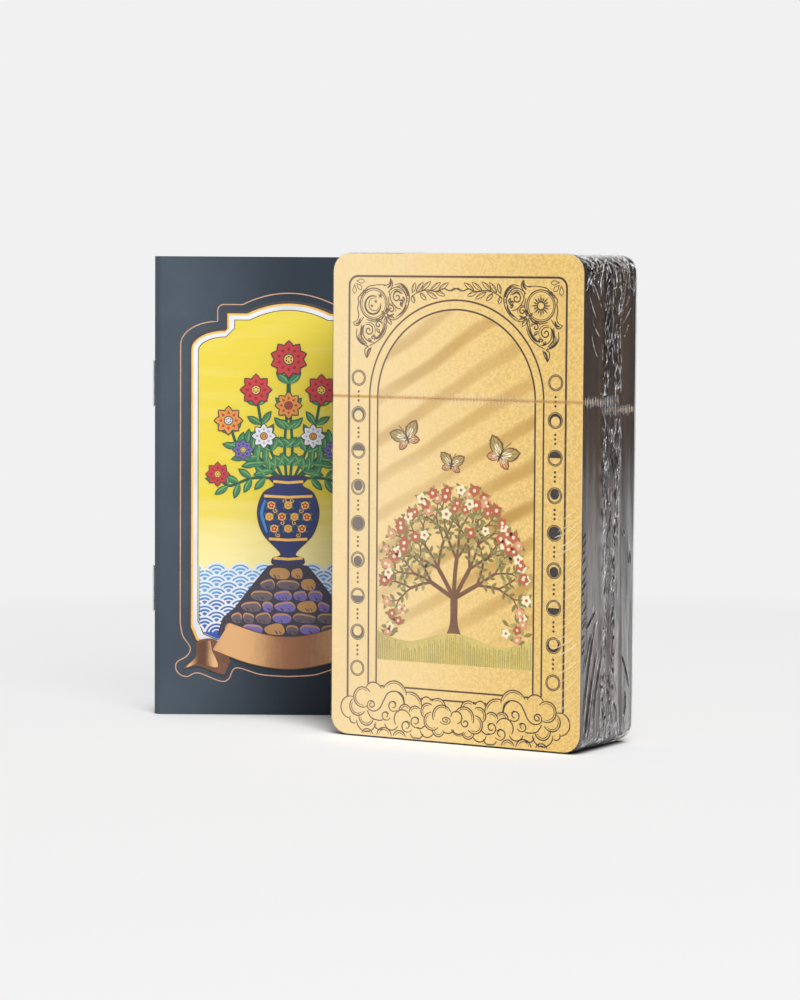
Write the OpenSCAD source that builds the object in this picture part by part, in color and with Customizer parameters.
// A full tarot deck, standing in its sealed clear film wrap, with its stapled guidebook beside it.
// Millimetres. The origin is the middle of the deck's base, +Z is up and the title card faces -Y.

/* [Cards] */
// Width of a card
card_w = 70; // [60:0.5:90]
// Height of a card
card_h = 120; // [100:0.5:150]
// Thickness of a card with its foil
card_t = 0.34; // [0.25:0.01:0.5]
// Radius of a card's corners
card_corner_r = 4.5; // [2:0.1:8]

/* [Film wrap] */
// Thickness of the clear film
film_t = 0.15; // [0.1:0.01:0.3]
// Width of the tear tape that rings the wrap
tape_w = 3; // [2:0.1:6]
// Height of the tape's middle on the front
tape_z = 85; // [60:0.5:95]
// How much lower the tape runs round the back
tape_step = 2.4; // [0:0.1:4]
// Width of the lap seam down the right side
lap_w = 10.8; // [6:0.1:16]
// Depth of the end flap that closes the top and the base
flap_d = 19; // [12:0.5:24]

/* [Guidebook] */
// Width from the fold's axis to the fore edge
book_w = 69; // [50:0.5:90]
// Height of the guidebook
book_h = 119.5; // [90:0.5:150]
// Thickness of the cover sheet
cover_t = 0.3; // [0.2:0.01:0.5]
// Thickness of an inner sheet
leaf_t = 0.12; // [0.08:0.01:0.2]
// How far it stands open, in degrees
book_open = 14; // [4:1:30]
// Turn of its front cover away from the deck's face, in degrees
book_turn = 30; // [10:1:60]
// Clear distance from the front cover to the deck's rear left edge
book_gap = 10; // [3:0.5:30]
// How far the fold's axis stands out to the left of that edge
book_reach = 59.3; // [40:0.1:80]

/* [Staples] */
// Diameter of the staple wire
wire_d = 0.5; // [0.3:0.05:0.8]
// Length of a staple's crown between its legs
crown_w = 12; // [8:0.5:16]
// Gap left between the two clinched points
clinch_gap = 2; // [0.5:0.25:4]
// Distance of each staple's middle from the nearer end of the spine
staple_inset = 33; // [20:0.5:45]

/* [Hidden] */
trump_count = 22;
suit_names = ["wands", "cups", "swords", "pentacles"];
suit_count = 14;
sheet_count = 10;
// Air left between neighbouring cards, leaves, and the deck and its wrap
card_air = 0.012;
leaf_air = 0.012;
film_air = 0.1;
// Air below the tape, where the film tears
tear_air = 0.02;
// Air round the staple wire in its holes, in the gutter and under its crown
wire_air = 0.05;
crown_air = 0.02;
// Short stretch of each sheet that bends with the fold
fold_run = 0.4;
// Steps along the bend of a folded sheet
bend_steps = 24;
// A wire's bend, as a share of the wire's diameter
bend_share = 0.6;
// How far a cutting shape runs past what it cuts
overrun = 1;
$fn = 64;

// The deck: the title card in front, then the trumps, then the four suits
trump_first = 1;
suit_first = trump_first + trump_count;
card_count = suit_first + suit_count * len(suit_names);
card_pitch = card_t + card_air;
deck_d = card_count * card_pitch - card_air;
film_skin = film_air + film_t;
// How deep a second layer of film is welded into the first
film_weld = film_t / 2;
card_z = film_t + film_skin;
wrap_w = card_w + 2 * film_skin;
wrap_d = deck_d + 2 * film_skin;
wrap_h = card_h + 2 * card_z;

// The guidebook: its sheets nest round one upright axis, the innermost first
leaf_pitch = leaf_t + leaf_air;
gutter_r = wire_d / 2 + wire_air;
cover_r = gutter_r + sheet_count * leaf_pitch + cover_t / 2;
spine_r = cover_r + cover_t / 2;
crown_r = spine_r + crown_air + wire_d / 2;
bend_r = wire_d * bend_share;
spine_x = -wrap_w / 2 - book_reach * cos(book_turn) - (book_gap + spine_r) * sin(book_turn);
spine_y = wrap_d / 2 - book_reach * sin(book_turn) + (book_gap + spine_r) * cos(book_turn);
staple_zs = [staple_inset, book_h - staple_inset];

function numbered(stem, number) = str(stem, number < 10 ? "_0" : "_", number);
function card_front(index) = -deck_d / 2 + index * card_pitch;
function leaf_r(sheet) = gutter_r + sheet * leaf_pitch - leaf_pitch / 2;
function leaf_turn(sheet) = book_open * sheet / (sheet_count + 1);
function turned(point, angle) = [
    point.x * cos(angle) - point.y * sin(angle),
    point.x * sin(angle) + point.y * cos(angle)
];
function arc_points(radius, first, last) = [
    for (i = [0 : bend_steps])
        turned([radius, 0], first + (last - first) * i / bend_steps)
];
function reversed(points) = [for (i = [len(points) - 1 : -1 : 0]) points[i]];

// A rounded rectangle with its middle at the origin
module rounded_rectangle(width, height, radius) {
    square([width - 2 * radius, height], center = true);
    square([width, height - 2 * radius], center = true);
    for (x = [-1, 1], y = [-1, 1])
        translate([x * (width / 2 - radius), y * (height / 2 - radius)])
            circle(radius);
}

// An upright plate of the card's outline, grown all round, from a front plane backwards
module card_slab(grow, front, depth) {
    translate([0, front + depth, card_z + card_h / 2])
        rotate([90, 0, 0])
            linear_extrude(depth)
                rounded_rectangle(card_w + 2 * grow, card_h + 2 * grow, card_corner_r + grow);
}

module card(index) {
    card_slab(0, card_front(index), card_t);
}

module title_card() {
    color([0.92, 0.79, 0.53])
        card(0);
}

module trump_card(number) {
    color([0.36, 0.34, 0.32])
        card(trump_first + number);
}

// One suit, ace to king, as fourteen loose cards
module suit_packet(suit) {
    color([0.27, 0.26, 0.25])
        for (i = [0 : suit_count - 1])
            card(suit_first + suit * suit_count + i);
}

// The flap folded last over an end of the wrap, glued flat, with its long edge at the back
module end_flap() {
    root = card_w / 2 - card_corner_r;
    tip = root - flap_d;
    linear_extrude(film_t + film_weld)
        polygon([
            [-root, wrap_d / 2],
            [root, wrap_d / 2],
            [tip, wrap_d / 2 - flap_d],
            [-tip, wrap_d / 2 - flap_d]
        ]);
}

// The outer layer of film where its two edges overlap and are welded
module lap_seam() {
    translate([wrap_w / 2 - film_weld, -lap_w / 2, card_z + card_corner_r])
        cube([film_t + film_weld, lap_w, card_h - 2 * card_corner_r]);
}

// The whole wrap before it is torn
module film_wrap() {
    difference() {
        union() {
            card_slab(film_skin, -wrap_d / 2, wrap_d);
            lap_seam();
            end_flap();
            translate([0, 0, wrap_h])
                mirror([0, 0, 1])
                    end_flap();
        }
        card_slab(film_air, -deck_d / 2 - film_air, deck_d + 2 * film_air);
    }
}

// A line at one height past the tape, seen from the right: it drops by a step within the lap
function tape_line(above) = [
    [-wrap_d / 2 - overrun, tape_z + above],
    [-lap_w / 2, tape_z + above],
    [lap_w / 2, tape_z - tape_step + above],
    [wrap_d / 2 + overrun, tape_z - tape_step + above]
];

// Everything between two heights counted from the tape's middle
module tape_band(low, high) {
    rotate([90, 0, 90])
        linear_extrude(wrap_w + 2 * (film_t + overrun), center = true)
            polygon(concat(tape_line(low), reversed(tape_line(high))));
}

module film_cap() {
    color([0.85, 0.87, 0.88, 0.35])
        intersection() {
            film_wrap();
            tape_band(tape_w / 2, wrap_h);
        }
}

module tear_tape() {
    color([0.62, 0.48, 0.3, 0.7])
        intersection() {
            film_wrap();
            tape_band(-tape_w / 2, tape_w / 2);
        }
}

module film_sleeve() {
    color([0.85, 0.87, 0.88, 0.35])
        intersection() {
            film_wrap();
            tape_band(-wrap_h, -tape_w / 2 - tear_air);
        }
}

// Sets a shape drawn round the fold's axis, front cover along +X, in the guidebook's place
module in_book() {
    translate([spine_x, spine_y, 0])
        rotate([0, 0, book_turn])
            children();
}

// The flat half of a folded sheet on the front side
module front_half(radius, thick) {
    in_book()
        translate([fold_run, -radius - thick / 2, 0])
            cube([book_w - fold_run, thick, book_h]);
}

// The flat half on the back side, swung open
module back_half(radius, thick, turn) {
    in_book()
        rotate([0, 0, turn])
            translate([fold_run, radius - thick / 2, 0])
                cube([book_w - fold_run, thick, book_h]);
}

// The four holes that the staple legs make through the fold, square to the spine
module leg_holes() {
    rotate([0, 0, book_open / 2])
        for (z = staple_zs, side = [-1, 1])
            translate([-crown_r, 0, z + side * crown_w / 2])
                rotate([0, 90, 0])
                    cylinder(crown_r, d = wire_d + 2 * wire_air);
}

// The bent stretch that joins a sheet's two halves round the spine, pierced for the staples
module sheet_fold(radius, thick, turn) {
    outer = radius + thick / 2;
    inner = radius - thick / 2;
    in_book()
        difference() {
            linear_extrude(book_h)
                polygon(concat(
                    [[fold_run, -outer]],
                    arc_points(outer, 270, 90 + turn),
                    [turned([fold_run, outer], turn), turned([fold_run, inner], turn)],
                    arc_points(inner, 90 + turn, 270),
                    [[fold_run, -inner]]
                ));
            leg_holes();
        }
}

module front_cover() {
    color([0.3, 0.35, 0.4])
        front_half(cover_r, cover_t);
}

module cover_spine() {
    color([0.3, 0.35, 0.4])
        sheet_fold(cover_r, cover_t, book_open);
}

module back_cover() {
    color([0.3, 0.35, 0.4])
        back_half(cover_r, cover_t, book_open);
}

module front_leaf(sheet) {
    color([0.93, 0.91, 0.86])
        front_half(leaf_r(sheet), leaf_t);
}

module back_leaf(sheet) {
    color([0.93, 0.91, 0.86])
        back_half(leaf_r(sheet), leaf_t, leaf_turn(sheet));
}

module sheet_folds() {
    color([0.93, 0.91, 0.86])
        for (i = [1 : sheet_count])
            sheet_fold(leaf_r(i), leaf_t, leaf_turn(i));
}

// A quarter bend of wire in the upright plane, from its first angle on
module wire_bend(first_angle) {
    rotate([90, 0, 0])
        rotate([0, 0, first_angle])
            rotate_extrude(angle = 90)
                translate([bend_r, 0])
                    circle(d = wire_d);
}

// Half a staple: half its crown along the spine, a leg through the fold, and its clinched end
module half_staple() {
    bend_z = crown_w / 2 - bend_r;
    translate([-crown_r, 0, 0])
        cylinder(bend_z, d = wire_d);
    translate([bend_r - crown_r, 0, bend_z])
        wire_bend(90);
    translate([bend_r - crown_r, 0, crown_w / 2])
        rotate([0, 90, 0])
            cylinder(crown_r - 2 * bend_r, d = wire_d);
    translate([-bend_r, 0, bend_z])
        wire_bend(0);
    translate([0, 0, clinch_gap / 2])
        cylinder(bend_z - clinch_gap / 2, d = wire_d);
}

module staple(z) {
    color([0.7, 0.71, 0.72])
        in_book()
            translate([0, 0, z])
                rotate([0, 0, book_open / 2])
                    for (side = [0, 1])
                        mirror([0, 0, side])
                            half_staple();
}

module lower_staple() {
    staple(staple_zs[0]);
}

module upper_staple() {
    staple(staple_zs[1]);
}

title_card();
for (i = [0 : trump_count - 1])
    trump_card(i);
for (i = [0 : len(suit_names) - 1])
    suit_packet(i);
film_cap();
tear_tape();
film_sleeve();
front_cover();
cover_spine();
back_cover();
sheet_folds();
lower_staple();
upper_staple();
for (i = [1 : sheet_count])
    front_leaf(i);
for (i = [1 : sheet_count])
    back_leaf(i);
